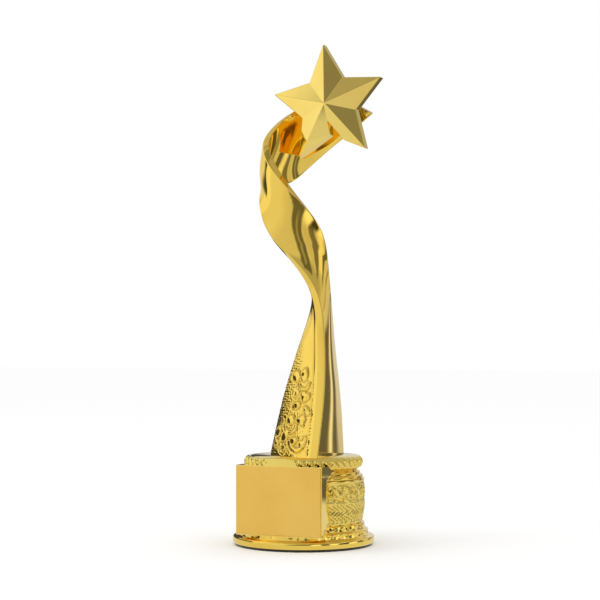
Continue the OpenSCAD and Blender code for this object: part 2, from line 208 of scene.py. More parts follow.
def lathe(name, profile, material, nodes, steps=360, flat=None, flat_from=0, relief=None,
          lay_at=None):
    """Turns a closed (radius, height) outline round Z. flat cuts the front off at that distance from the
    axis, above the height flat_from. relief(angle, radius, height) raises the outer surface by
    millimetres. lay_at lays the axis along +Y through that (x, z)."""
    angles = np.arange(steps) * 2 * math.pi / steps
    r = np.repeat(profile[:, 0:1], steps, axis=1)
    z = np.repeat(profile[:, 1:2], steps, axis=1)
    a = np.repeat(angles[None, :], len(profile), axis=0)
    if relief:
        along = np.roll(profile, -1, axis=0) - np.roll(profile, 1, axis=0)
        out = np.stack([along[:, 1], -along[:, 0]], axis=1)
        out /= np.linalg.norm(out, axis=1)[:, None]
        height = relief(a, r, z)
        r = r + height * out[:, 0:1]
        z = z + height * out[:, 1:2]
    x, y = r * np.cos(a), r * np.sin(a)
    if flat is not None:
        y = np.where(z > flat_from, np.maximum(y, -flat), y)
    if lay_at:
        x, y, z = x + lay_at[0], z, lay_at[1] - y
    points = np.stack([x, y, z], axis=-1).reshape(-1, 3)
    piece = add_mesh(name, points, grid_faces(len(profile), steps, wrap_rows=True), material, nodes)
    sharpen(piece)


# ------------------------------------------------------------------ carving

def scatter(i, j, seed):
    """A repeatable number from 0 to 1 for each cell of a grid."""
    n = np.sin(i * 12.9898 + j * 78.233 + seed * 37.719) * 43758.5453
    return n - np.floor(n)


def pebbles(u, v, size, seed, around=None):
    """Small domes scattered over a surface, 0 to 1. around is how many fit round a closed surface."""
    x, y = u / size, v / size
    i, j = np.floor(x), np.floor(y)
    nearest = np.full(x.shape, 9.0)
    for di in (-1, 0, 1):
        for dj in (-1, 0, 1):
            ci, cj = i + di, j + dj
            key = ci % around if around else ci
            cx = ci + 0.5 + 0.6 * (scatter(key, cj, seed) - 0.5)
            cy = cj + 0.5 + 0.6 * (scatter(key, cj, seed + 5) - 0.5)
            nearest = np.minimum(nearest, np.hypot(x - cx, y - cy))
    return np.clip(1 - (nearest / 0.55) ** 2, 0, 1)


def step_up(distance, edge):
    """1 inside a shape and 0 outside, with a soft edge; distance is negative inside."""
    t = np.clip(0.5 - distance / edge, 0, 1)
    return t * t * (3 - 2 * t)


def disc(u, v, size):
    return np.hypot(u, v) - size


def drop(u, v, size):
    """A drop with its point upwards."""
    taper = np.clip((v + size) / (3 * size), 0, 1)
    return np.hypot(u, v * 0.55) - size * (1.1 - 0.8 * taper)


def crescent(u, v, size):
    """A thin bowl-shaped arc."""
    ring = np.abs(np.hypot(u, v) - size) - 0.16 * size
    return np.maximum(ring, v - 0.1 * size)


def heart(u, v, size):
    """Two lobes over a point."""
    lobe = np.hypot(np.abs(u) - 0.5 * size, v - 0.25 * size) - 0.58 * size
    point = (np.abs(u) * 0.8 + np.abs(v + 0.3 * size) * 0.75) - 0.72 * size
    return np.minimum(lobe, point)


# Motifs on the ribbon's carved panel: shape, distance from its border, height above the cap, size, turn
MOTIFS = [
    (disc, 13.0, 44, 2.9, 0), (drop, 6.5, 46, 2.3, 15), (crescent, 7.0, 40.5, 3.6, 5),
    (heart, 5.5, 33, 2.9, 20), (crescent, 12.0, 35, 2.7, -60), (drop, 10.5, 28.5, 2.0, 65),
    (disc, 15.0, 20, 2.6, 0), (crescent, 15.0, 17.5, 4.4, 0), (heart, 7.0, 20, 2.9, -25),
    (drop, 4.2, 26, 1.8, -35), (crescent, 9.0, 9.5, 5.8, -10), (drop, 10.5, 9, 2.0, 75),
    (disc, 5.0, 7.0, 2.0, 0), (drop, 18.0, 12, 2.2, 30), (crescent, 19.0, 5, 3.2, 30),
    (drop, 24.0, 14, 2.0, 40), (disc, 26.0, 7, 1.9, 0),
]


def panel_carving(u, v):
    """Height of the ribbon's carved panel: raised motifs in grooves on stippled ground. u is the distance
    from the panel's border and v the height above the cap."""
    plain = step_up(44 - v, 10) * step_up(u - 9, 6)
    ground = 0.2 * pebbles(u, v, 1.3, 3) * (0.3 + 0.7 * step_up(13 - u, 6)) + 0.1 * pebbles(u, v, 0.8, 8)
    ground = ground * (1 - plain) * step_up(v - 84, 10)
    raised = np.zeros_like(u)
    groove = np.zeros_like(u)
    for shape, mu, mv, size, turn in MOTIFS:
        c, s = math.cos(math.radians(turn)), math.sin(math.radians(turn))
        du, dv = (u - mu) * c + (v - mv) * s, -(u - mu) * s + (v - mv) * c
        distance = shape(du, dv, size)
        crown = 0.32 + 0.35 * np.clip(1 - np.hypot(du, dv) / size, 0, 1)
        raised = np.maximum(raised, step_up(distance, 0.5) * crown)
        groove = np.maximum(groove, np.exp(-((distance - 0.45) / 0.4) ** 2))
    rim = 0.2 * np.exp(-((u - 0.6) / 0.45) ** 2) * step_up(v - 84, 8)
    return np.where(raised > 0.05, np.maximum(raised, ground), ground - 0.4 * groove) - rim


# ------------------------------------------------------------------ materials

GOLD = (1.0, 0.745, 0.19)
DEEP_GOLD = (1.0, 0.7, 0.13)
CARVED_GOLD = (1.0, 0.76, 0.17)
SATIN_GOLD = (0.98, 0.62, 0.13)
# Painted shade: how far the concave hollows of the metal are darkened
HOLLOW_SHADE = 0.6


def node(tree, kind, **settings):
    """A shader node with its inputs set by name."""
    made = tree.nodes.new(kind)
    for key, value in settings.items():
        if key in made.inputs:
            made.inputs[key].default_value = value
        else:
            setattr(made, key, value)
    return made


def add_bump(tree, pattern, height, below):
    """Bump of a pattern, height in millimetres, on top of an earlier bump if there is one."""
    bump = node(tree, "ShaderNodeBump", Strength=1.0, Distance=height * MM)
    tree.links.new(pattern, bump.inputs["Height"])
    if below:
        tree.links.new(below, bump.inputs["Normal"])
    return bump.outputs["Normal"]


def metal(name, tone, roughness, wobble=0.0, grain=0.0, coat=0.0, scratch=0.0):
    """Metal with cloudy tone, uneven gloss, slow surface wobble from casting, fine grain, rubbed edges
    and painted shade that darkens its hollows. wobble, grain and scratch are bump heights in millimetres."""
    material = bpy.data.materials.new(name)
    material.use_nodes = True
    tree = material.node_tree
    shader = tree.nodes["Principled BSDF"]
    shader.inputs["Metallic"].default_value = 1.0
    shader.inputs["Coat Weight"].default_value = coat
    shader.inputs["Coat Roughness"].default_value = 0.04
    place = node(tree, "ShaderNodeTexCoord")

    cloud = node(tree, "ShaderNodeTexNoise", Scale=38.0, Detail=3.0)
    tree.links.new(place.outputs["Object"], cloud.inputs["Vector"])
    tones = node(tree, "ShaderNodeValToRGB")
    tones.color_ramp.elements[0].position = 0.3
    tones.color_ramp.elements[1].position = 0.7
    tones.color_ramp.elements[0].color = (tone[0] * 0.96, tone[1] * 0.93, tone[2] * 0.86, 1)
    tones.color_ramp.elements[1].color = (min(tone[0] * 1.02, 1), tone[1] * 1.03, tone[2] * 1.08, 1)
    tree.links.new(cloud.outputs["Fac"], tones.inputs["Fac"])

    wear = node(tree, "ShaderNodeNewGeometry")
    worn = node(tree, "ShaderNodeMapRange")
    worn.inputs["From Min"].default_value = 0.53
    worn.inputs["From Max"].default_value = 0.62
    worn.inputs["To Max"].default_value = 0.35
    tree.links.new(wear.outputs["Pointiness"], worn.inputs["Value"])
    paler = node(tree, "ShaderNodeMix", data_type="RGBA")
    paler.inputs[7].default_value = (min(tone[0] * 1.05, 1), min(tone[1] * 1.15, 1), tone[2] * 1.5, 1)
    tree.links.new(worn.outputs["Result"], paler.inputs[0])
    tree.links.new(tones.outputs["Color"], paler.inputs[6])
    # Painted shade: hollows, found by low pointiness, are mixed towards a dark tone
    hollow_shade_mask = node(tree, "ShaderNodeMapRange")
    hollow_shade_mask.inputs["From Min"].default_value = 0.49
    hollow_shade_mask.inputs["From Max"].default_value = 0.44
    hollow_shade_mask.inputs["To Max"].default_value = HOLLOW_SHADE
    tree.links.new(wear.outputs["Pointiness"], hollow_shade_mask.inputs["Value"])
    shade_in_hollows = node(tree, "ShaderNodeMix", data_type="RGBA")
    shade_in_hollows.inputs[7].default_value = (tone[0] * 0.3, tone[1] * 0.2, tone[2] * 0.12, 1)
    tree.links.new(hollow_shade_mask.outputs["Result"], shade_in_hollows.inputs[0])
    tree.links.new(paler.outputs[2], shade_in_hollows.inputs[6])
    tree.links.new(shade_in_hollows.outputs[2], shader.inputs["Base Color"])

    patches = node(tree, "ShaderNodeTexNoise", Scale=210.0, Detail=4.0)
    tree.links.new(place.outputs["Object"], patches.inputs["Vector"])
    gloss = node(tree, "ShaderNodeMapRange")
    gloss.inputs["To Min"].default_value = roughness * 0.75
    gloss.inputs["To Max"].default_value = roughness * 1.3
    tree.links.new(patches.outputs["Fac"], gloss.inputs["Value"])
    tree.links.new(gloss.outputs["Result"], shader.inputs["Roughness"])

    normal = None
    for height, scale, detail in ((wobble, 55.0, 1.0), (grain, 1800.0, 3.0)):
        if height == 0:
            continue
        waves = node(tree, "ShaderNodeTexNoise", Scale=scale, Detail=detail)
        tree.links.new(place.outputs["Object"], waves.inputs["Vector"])
        normal = add_bump(tree, waves.outputs["Fac"], height, normal)
    if scratch:
        stretch = node(tree, "ShaderNodeMapping")
        stretch.inputs["Scale"].default_value = (60, 60, 4000)
        lines = node(tree, "ShaderNodeTexNoise", Scale=1.0, Detail=2.0)
        tree.links.new(place.outputs["Object"], stretch.inputs["Vector"])
        tree.links.new(stretch.outputs["Vector"], lines.inputs["Vector"])
        normal = add_bump(tree, lines.outputs["Fac"], scratch, normal)
    if normal:
        tree.links.new(normal, shader.inputs["Normal"])
    return material


def felt_dark_as_shadow_material():
    """Short-napped felt with fibres, coloured near-black as painted shadow for the dark line under the
    foot.
    """
    material = bpy.data.materials.new("felt")
    material.use_nodes = True
    tree = material.node_tree
    shader = tree.nodes["Principled BSDF"]
    shader.inputs["Roughness"].default_value = 0.95
    shader.inputs["Sheen Weight"].default_value = 0.4
    place = node(tree, "ShaderNodeTexCoord")
    fibres = node(tree, "ShaderNodeTexNoise", Scale=2600.0, Detail=6.0, Distortion=2.0)
    tree.links.new(place.outputs["Object"], fibres.inputs["Vector"])
    # Near-black fibre colours: felt whose darkness is painted shadow under the flange
    shadow_dark_fibre_shades = node(tree, "ShaderNodeValToRGB")
    shadow_dark_fibre_shades.color_ramp.elements[0].color = (0.006, 0.007, 0.006, 1)
    shadow_dark_fibre_shades.color_ramp.elements[1].color = (0.024, 0.027, 0.025, 1)
    tree.links.new(fibres.outputs["Fac"], shadow_dark_fibre_shades.inputs["Fac"])
    tree.links.new(shadow_dark_fibre_shades.outputs["Color"], shader.inputs["Base Color"])
    bump = node(tree, "ShaderNodeBump", Strength=0.8, Distance=0.15 * MM)
    tree.links.new(fibres.outputs["Fac"], bump.inputs["Height"])
    tree.links.new(bump.outputs["Normal"], shader.inputs["Normal"])
    return material


def make_materials():
    """Every material by the record's slot names, and the deeper gold of the ribbon and foot."""
    return {
        "gold": metal("polished_gold", GOLD, 0.05, wobble=0.03),
        "deep_gold": metal("deep_gold", DEEP_GOLD, 0.05, wobble=0.03),
        "carved_gold": metal("carved_gold", CARVED_GOLD, 0.1, grain=0.01, coat=0.1),
        "satin_gold": metal("satin_gold", SATIN_GOLD, 0.33, grain=0.01),
        "steel": metal("zinc_plated_steel", (0.62, 0.61, 0.58), 0.3, grain=0.004, scratch=0.004),
        "iron": metal("cast_iron", (0.12, 0.115, 0.11), 0.65, grain=0.06),
        "insert_brass": metal("turned_brass", (0.85, 0.62, 0.27), 0.25, scratch=0.005),
        "felt": felt_dark_as_shadow_material(),
    }


# ------------------------------------------------------------------ ribbon

def smooth(a, b, c, d, t):
    """Smooth value between b and c, with a and d as the neighbours beyond them."""
    return 0.5 * (2 * b + (c - a) * t + (2 * a - 5 * b + 4 * c - d) * t * t
                  + (3 * b - a - 3 * c + d) * t * t * t)


def fair_rail(field):
    """A column of the station table as a dense curve, faired so that reflections run smoothly."""
    column = np.array([np.ravel(station[field]) for station in STATIONS], float)
    padded = np.vstack([2 * column[0] - column[1], column, 2 * column[-1] - column[-2]])
    dense = [smooth(*padded[k:k + 4], t) for k in range(len(column) - 1)
             for t in np.linspace(0, 1, FAIR_STEPS, endpoint=False)]
    dense = np.vstack(dense + [column[-1:]])
    reach = FAIR_STEPS
    ahead = 2 * dense[0] - dense[reach:0:-1]
    beyond = 2 * dense[-1] - dense[-2:-reach - 2:-1]
    weights = np.hanning(2 * reach + 1)
    weights /= weights.sum()
    whole = np.vstack([ahead, dense, beyond])
    return np.stack([np.convolve(whole[:, k], weights, "valid") for k in range(whole.shape[1])], axis=1)


RAILS = [fair_rail(field) for field in range(4)]


def along(place, field):
    """A column of the station table at a place counted in stations."""
    rail = RAILS[field]
    at = np.clip(place * FAIR_STEPS, 0, len(rail) - 1)
    low = min(int(at), len(rail) - 2)
    value = rail[low] + (rail[low + 1] - rail[low]) * (at - low)
    return value if len(value) > 1 else value[0]


def outward(place):
    """Direction out of the ribbon's outer face, kept level where the stem meets the cap."""
    last = len(STATIONS) - 1
    back, ahead = max(place - 0.3, 0), min(place + 0.3, last)
    run = along(ahead, LEAD) + along(ahead, TRAIL) - along(back, LEAD) - along(back, TRAIL)
    n = np.cross(along(place, TRAIL) - along(place, LEAD), run)
    n[2] *= min(place / LEVEL_STATIONS, 1)
    return n / np.linalg.norm(n)


def ribbon_ring(place):
    """One ring of points round the ribbon, and for each its distance into the carved panel, or -1."""
    lead, trail = along(place, LEAD), along(place, TRAIL)
    out = outward(place)
    swell = along(place, SWELL)
    deep = max(along(place, DEPTH), RIBBON_T) - RIBBON_T

    def outer(share):
        share = np.asarray(share)[:, None]
        return lead + (trail - lead) * share + out * swell * np.sin(math.pi * share)

    def inner(share):
        share = np.asarray(share)[:, None]
        span = np.where(share < RIDGE_AT, RIDGE_AT, 1 - RIDGE_AT)
        ridge = 1 - (np.abs(share - RIDGE_AT) / span) ** RIDGE_POWER
        return (trail + (lead - trail) * share
                + out * (swell * np.sin(math.pi * share) - RIBBON_T - deep * ridge))

    width = np.linalg.norm(trail - lead)
    gap = 0.9 / width
    face = outer(np.linspace(gap, 1 - gap, 26))
    back = inner(np.linspace(gap, RIDGE_AT, 22, endpoint=False))
    panel = inner(np.linspace(RIDGE_AT, 1 - gap, 100))
    corners = [outer([1])[0], inner([0])[0], inner([1])[0], outer([0])[0]]
    edge_trail = (corners[0] + corners[1]) / 2
    edge_lead = (corners[2] + corners[3]) / 2
    rounds = [
        fillet(corners[0], face[-1], edge_trail, 0.7),
        fillet(corners[1], edge_trail, back[0], 0.7),
        fillet(corners[2], panel[-1], edge_lead, 0.5),
        fillet(corners[3], edge_lead, face[0], 0.6),
    ]
    steps = np.linalg.norm(np.diff(panel, axis=0), axis=1)
    inward = np.concatenate([np.cumsum(steps[::-1])[::-1], [0]])
    points = np.vstack([face, rounds[0], edge_trail[None], rounds[1], back, panel,
                        rounds[2], edge_lead[None], rounds[3]])
    depth = np.full(len(points), -1.0)
    start = len(face) + len(rounds[0]) + 1 + len(rounds[1]) + len(back)
    depth[start:start + len(panel)] = inward
    return points, depth


def outline_distance(x, z, outline):
    """Distance of points from a closed outline, negative inside."""
    nearest = np.full(x.shape, 1000.0)
    inside = np.zeros(x.shape, bool)
    for a, b in zip(outline, np.roll(outline, -1, axis=0)):
        run = b - a
        share = np.clip(((x - a[0]) * run[0] + (z - a[1]) * run[1]) / run.dot(run), 0, 1)
        nearest = np.minimum(nearest, np.hypot(x - a[0] - share * run[0], z - a[1] - share * run[1]))
        crossing = a[0] + (z - a[1]) / (run[1] + 1e-9) * run[0]
        inside ^= ((a[1] > z) != (b[1] > z)) & (x < crossing)
    return np.where(inside, -nearest, nearest)


def star_seat(points, centre, back):
    """Presses the ribbon back where it passes close behind the star, so that it clears the star."""
    outline = star_outline(1, STAR_NOTCH)
    distance = outline_distance(points[..., 0] - centre[0], points[..., 2] - centre[2], outline)
    points[..., 1] = np.maximum(points[..., 1], back - SEAT_SLOPE * np.maximum(distance - SEAT_GAP, 0))


def build_ribbon(cap_z, material):
    """The twisted ribbon and its carved panel."""
    last = len(STATIONS) - 1
    places = np.concatenate([
        np.linspace(0, PANEL_TOP, 250, endpoint=False),
        np.linspace(PANEL_TOP, last, 230),
    ])
    rings, depths = zip(*(ribbon_ring(p) for p in places))
    points, depth = np.array(rings), np.array(depths)
    rows, columns = points.shape[:2]

    up = np.gradient(points, axis=0)
    round_ = np.roll(points, -1, axis=1) - np.roll(points, 1, axis=1)
    normal = np.cross(round_, up)
    normal /= np.linalg.norm(normal, axis=2)[:, :, None] + 1e-9
    carve = np.where(depth >= 0, panel_carving(np.maximum(depth, 0), points[:, :, 2]), 0)
    carve *= np.clip(points[:, :, 2] / 1.5, 0, 1)
    points = points + normal * carve[:, :, None]

    points[:, :, 2] += cap_z
    star_seat(points, star_centre(), cad_mm("star_front")[1][1])
    verts = points.reshape(-1, 3)
    ends = [rings[0].mean(axis=0) + (0, 0, cap_z), rings[-1].mean(axis=0) + (0, 0, cap_z)]
    faces = grid_faces(rows, columns)
    base = rows * columns
    top = (rows - 1) * columns
    faces += [((c + 1) % columns, c, base) for c in range(columns)]
    faces += [(top + c, top + (c + 1) % columns, base + 1) for c in range(columns)]
    verts = np.vstack([verts, ends])
    piece = add_mesh("twisted_ribbon", verts, faces, material, ["ribbon"])
    sharpen(piece)


def build_boss(material):
    """Round boss on the ribbon behind the star, bored for the star's screw."""
    start = cad_mm("star_front")[1][1]
    end = cad_mm("star_washer")[0][1]
    centre = star_centre()
    corners = [(BOSS_BORE, start, 0.2), (BOSS_R, start, 0.3), (BOSS_R, end, 0.5), (BOSS_BORE, end, 0.2)]
    lathe("star_boss", rounded_profile(corners), material, ["ribbon"], steps=96,
          lay_at=(centre[0], centre[2]))


# ------------------------------------------------------------------ star

def star_centre():
    """Middle of the star's apex, level with the front edge of its side walls."""
    low, high = cad_mm("star_insert")
    centre = (low + high) / 2
    centre[1] = cad_mm("star_front")[1][1] - STAR_SIDE
    return centre


def star_point(turn, share):
    """Point of the star's own frame at a turn counted in corners and a share of the tip radius."""
    angle = math.radians(90 + STAR_LEAN + 36 * turn)
    return STAR_TIP * share * np.array([math.cos(angle), math.sin(angle)])


def star_outline(share, notch, inside=False):
    """The star's twelve corners: tips and waists in turn, and the notch beside the lowest waist."""
    corner = [star_point(k, share * (1 if k % 2 == 0 else STAR_WAIST)) for k in range(10)]
    before, waist, after = corner[NOTCH_AT - 1:NOTCH_AT + 2]
    if inside:
        inmost = star_point(NOTCH_AT - 0.1, share * notch)
        cut = [before + 0.7 * (inmost - before), inmost, inmost + 0.3 * (after - inmost)]
    else:
        cut = [waist, star_point(NOTCH_AT, notch), waist + 0.4 * (after - waist)]
    return np.array(corner[:NOTCH_AT] + cut + corner[NOTCH_AT + 1:])


def star_ring(outline, level, centre):
    """An outline of the star's own frame, where level is towards the viewer, in the trophy's frame."""
    return np.stack([centre[0] + outline[:, 0], centre[1] - level * np.ones(len(outline)),
                     centre[2] + outline[:, 1]], axis=1)


def build_star(material):
    """Hollow faceted shell with softened ridges."""
    centre = star_centre()
    outside = star_outline(1, STAR_NOTCH)
    inside = star_outline(STAR_HOLLOW, STAR_NOTCH - 0.01, inside=True)
    sides = len(outside)
    lift = np.zeros(sides)
    lift[NOTCH_AT + 1] = STAR_APEX * (1 - STAR_NOTCH / STAR_WAIST)
    tip_level, roof_level = STAR_APEX, STAR_APEX - STAR_WALL - 0.2
    rings = [
        star_ring(outside, lift, centre), star_ring(outside, -STAR_SIDE, centre),
        star_ring(inside, -STAR_SIDE, centre), star_ring(inside, -STAR_WALL, centre),
        star_ring(np.zeros((1, 2)), tip_level, centre), star_ring(np.zeros((1, 2)), roof_level, centre),
    ]
    ceiling, apex, roof = 3 * sides, 4 * sides, 4 * sides + 1
    faces = [(k, (k + 1) % sides, apex) for k in range(sides) if k not in (NOTCH_AT - 1, NOTCH_AT)]
    faces += [(NOTCH_AT - 1, NOTCH_AT, NOTCH_AT + 1, apex)]
    for k in range(sides):
        after = (k + 1) % sides
        for ring in (0, sides, 2 * sides):
            faces.append((ring + after, ring + k, ring + sides + k, ring + sides + after))
        faces.append((ceiling + after, ceiling + k, roof))
    shell = add_mesh("star_shell", np.vstack(rings), faces, material, ["star_front"])
    soften_edges(shell, 0.6, degrees=8)


# ------------------------------------------------------------------ base

def build_foot(material, flat):
    """Stepped foot with a rounded flange and scalloped steps, cut off flat behind the block."""
    low, high = cad_mm("foot")
    block_z = cad_mm("plaque_block")[0][2]
    web_low = cad_mm("rod_washer")[1][2]
    cover_high = cad_mm("base_cover")[1]
    r = high[0]
    bottom, top = low[2], high[2]
    flange = bottom + FLANGE_H
    step = flange + LOWER_STEP_H
    corners = [
        (r - 0.2, bottom, 1.4), (r, bottom + 2.05, 0), (r - 0.2, flange, 1.4),
        (37.0, flange, 0.3), (LOWER_STEP_R, flange + 0.5, 0.3), (LOWER_STEP_R, block_z, 0),
        (LOWER_STEP_R, block_z + 0.05, 0), (LOWER_STEP_R, step - 0.2, 0.9), (34.9, step, 0.3),
        (UPPER_STEP_R, step + 0.5, 0.3), (UPPER_STEP_R, step + 1.9, 0), (UPPER_STEP_R, top, 0.9),
        (ROD_BORE, top, 0), (ROD_BORE, web_low, 0), (24.3, web_low, 0.5), (24.3, cover_high[2], 0.2),
        (cover_high[0] + 0.1, cover_high[2], 0), (cover_high[0] + 0.1, bottom, 0.2),
    ]

    def relief(a, r, z):
        upper = (r > 33) & (z > step + 0.8) & (z < top - 0.4)
        lower = (r > 35) & (z > flange + 0.8) & (z < step - 0.4)
        scallop = np.abs(np.sin(SCALLOPS * a))
        lens = np.abs(np.sin(SCALLOPS * a + 0.8))
        return np.where(upper, -1.0 * (1 - scallop), 0) + np.where(lower, -1.1 * (1 - lens), 0)

    lathe("stepped_foot", rounded_profile(corners), material, ["foot"], flat=flat,
          flat_from=block_z + 0.01, relief=relief)


def build_drum(material, flat):
    """Hollow barrel: scrolled leaves above, fine crossed hatching below."""
    low, high = cad_mm("drum")
    bottom, top = low[2], high[2]
    height = top - bottom
    share = np.linspace(0, 1, 96)
    side = np.where(share < BELLY_AT, BELLY_R - 1.9 * (1 - share / BELLY_AT) ** 2,
                    BELLY_R - 0.7 * np.clip((share - BELLY_AT) / (1 - BELLY_AT), 0, 1) ** 2)
    outside = [(r, bottom + s * height) for r, s in zip(side, share)]
    inside = [(ROD_BORE, top), (ROD_BORE, top - DECK_T),
              (DRUM_BORE, top - DECK_T), (DRUM_BORE, bottom)]
    profile = np.array(outside + inside)

    def relief(a, r, z):
        s = (z - bottom) / height
        u = a * BELLY_R
        cell = a / (2 * math.pi) * SCROLLS
        x = (cell - np.floor(cell) - 0.5) * 2 * math.pi * BELLY_R / SCROLLS
        y = (s - 0.73) * height
        flip = np.where(np.floor(cell) % 2 == 0, 1, -1)
        rho, phi = np.hypot(x, y), np.arctan2(y, x) * flip
        scroll = (0.5 + 0.5 * np.cos(2 * phi + 1.7 * rho)) * np.clip(1.15 - rho / 8.5, 0, 1)
        leaf = (0.5 + 0.5 * np.cos(5 * phi - 0.9 * rho)) * np.clip(rho / 6, 0, 1)
        carved = 1.3 * np.maximum(scroll, 0.7 * leaf) + 0.12 * pebbles(u, z, 1.2, 2, around=181)
        veins = np.sin(u * 0.9 + 1.6 * np.abs(np.mod(z, 6) - 3) + 0.8 * np.sin(u * 0.35))
        hatch = 0.55 * np.abs(veins) + 0.12 * np.sin(u * 2.6 - z * 2.1)
        upper = step_up(0.52 - s, 0.06) * step_up(s - 0.95, 0.05)
        lower = step_up(s - 0.48, 0.05) * step_up(0.05 - s, 0.05)
        outer = (r > 30) & (s > 0.001) & (s < 0.999)
        return np.where(outer, upper * (carved - 1.25) + lower * (hatch - 0.6), 0)

    lathe("carved_drum", profile, material, ["drum"], steps=720, flat=flat,
          relief=relief)


def build_neck(material, flat):
    """Stepped neck ring with rolled edges."""
    low, high = cad_mm("neck_ring")
    b, t = low[2], high[2]
    corners = [
        (24, b, 0.2), (COLUMN_R, b, 0.7), (COLUMN_R, b + 1.9, 0.7), (31.9, b + 2.4, 0.2),
        (31.7, b + 2.5, 0.3), (31.6, b + 4.0, 0.6), (30.2, b + 4.3, 0.3), (29.8, t - 1.0, 0.3), (30.6, t, 0.2), (24, t, 0.2),
    ]
    lathe("neck_ring_turned", rounded_profile(corners), material, ["neck_ring"], flat=flat)


def build_cap(material, flat):
    """Cap with a carved leaf rope round its rim."""
    top = cad_mm("top_cap")[1][2]
    under = cad_mm("neck_ring")[1][2]
    turn = np.linspace(-math.pi / 2, math.pi / 2, 34)
    middle = (top + under) / 2
    rim = [(COLUMN_R - RIM_ROLL + RIM_ROLL * math.cos(a), middle + (top - under) / 2 * math.sin(a))
           for a in turn]
    inside = [(29.9, top - 0.3), (29.4, top - 0.3), (29.1, top), (ROD_BORE, top),
              (ROD_BORE, under - 3), (23.9, under - 3), (23.9, under)]
    profile = np.array(rim + inside)

    def relief(a, r, z):
        lift = (z - under) / (top - under)
        on_rim = (r > 30.4) & (z > under)
        twist = np.sin(ROPE_STRANDS * a + 5.0 * lift)
        veins = np.sin(ROPE_VEINS * a - 7.0 * lift)
        edge = np.clip(4 * lift * (1 - lift), 0, 1)
        return np.where(on_rim, (0.55 * twist + 0.2 * veins - 0.7) * edge, 0)

    lathe("rope_cap", profile, material, ["top_cap"], steps=8 * ROPE_VEINS, flat=flat,
          relief=relief)


def box_points(low, high):
    """The eight corners and six faces of a box."""
    points = [(x, y, z) for z in (low[2], high[2]) for y in (low[1], high[1]) for x in (low[0], high[0])]
    faces = [(0, 2, 3, 1), (4, 5, 7, 6), (0, 1, 5, 4), (2, 6, 7, 3), (0, 4, 6, 2), (1, 3, 7, 5)]
    return points, faces


def build_nameplate(material):
    """Thin blank plate on the block's face, with softened edges."""
    points, faces = box_points(*cad_mm("nameplate"))
    plate = add_mesh("blank_nameplate", points, faces, material, ["nameplate"])
    soften_edges(plate, 0.3)


# ------------------------------------------------------------------ studio

# Strips of painted reflection on the surround, placed where the polished gold needs a streak as seen from
# the camera:
# brightness, then height in millimetres, azimuth and half width in degrees. Later strips cover earlier.
STRIPS = [
    (0.15, [(40, 15, 18), (60, 19, 18), (100, 30, 11), (140, 39, 8), (180, 45, 8), (220, 48, 8),
            (270, 53, 8), (340, 60, 11), (400, 70, 12)]),
    (0.36, [(90, 30, 2), (140, 38, 2), (180, 45, 2), (220, 47, 2), (270, 52, 2), (340, 59, 2)]),
    (0.62, [(60, 42, 3), (100, 49, 3), (140, 56, 4), (180, 60, 4), (220, 65, 4), (270, 72, 5),
            (340, 88, 5)]),
    (0.20, [(60, 54, 5), (100, 61, 6), (140, 70, 7), (180, 73, 7), (220, 79, 7), (270, 86, 8),
            (340, 97, 5)]),
    (0.95, [(60, 70, 5), (100, 76, 5), (140, 86, 6), (180, 87, 6), (220, 95, 7), (270, 106, 8)]),
    (0.15, [(60, 90, 9), (100, 97, 9), (140, 103, 7), (180, 101, 6), (220, 110, 5), (270, 122, 4)]),
    (0.32, [(60, 120, 8), (100, 126, 5), (140, 131, 4), (180, 134, 4), (220, 140, 4)]),
    (0.14, [(0, 157, 10), (60, 162, 10), (85, 165, 10), (160, 164, 10)]),
    (1.05, [(0, 160, 1.6), (30, 162, 1.6), (60, 165, 1.7), (85, 167, 1.7), (160, 165, 1.7)]),
    (0.26, [(350, 20, 18), (450, 12, 26), (620, 12, 30)]),
    (0.06, [(40, -107, 44), (175, -107, 42)]),
    (0.42, [(700, -25, 14), (900, -25, 14)]),
    (1.20, [(0, 43, 7), (45, 43, 7)]),
    (0.06, [(0, 58, 6), (45, 58, 6)]),
    (1.20, [(0, 72, 6), (45, 72, 6)]),
    (0.06, [(0, 90, 9), (45, 90, 9)]),
    (1.20, [(0, 108, 8), (45, 108, 8)]),
    (0.06, [(0, 126, 8), (45, 126, 8)]),
]
# Size of the glowing surround, and the levels of its painted reflections: ceiling, floor card, dark wedge
# on it, background and painted window
SURROUND_RADIUS = 0.45
SURROUND_TOP = 0.9
CEILING_LEVEL = 0.55
FLOOR_LEVEL = 0.74
PAINTED_WEDGE_LEVEL = 0.12
BACKGROUND_LEVEL = 0.68
PAINTED_WINDOW_LEVEL = 0.97
PAINTED_WINDOW_AT = -64
PAINTED_WINDOW_HALF = 22
LAMP_PLACE = (-0.8, -0.8, 0.9)
LAMP_AIM = (0, 0, 0.12)


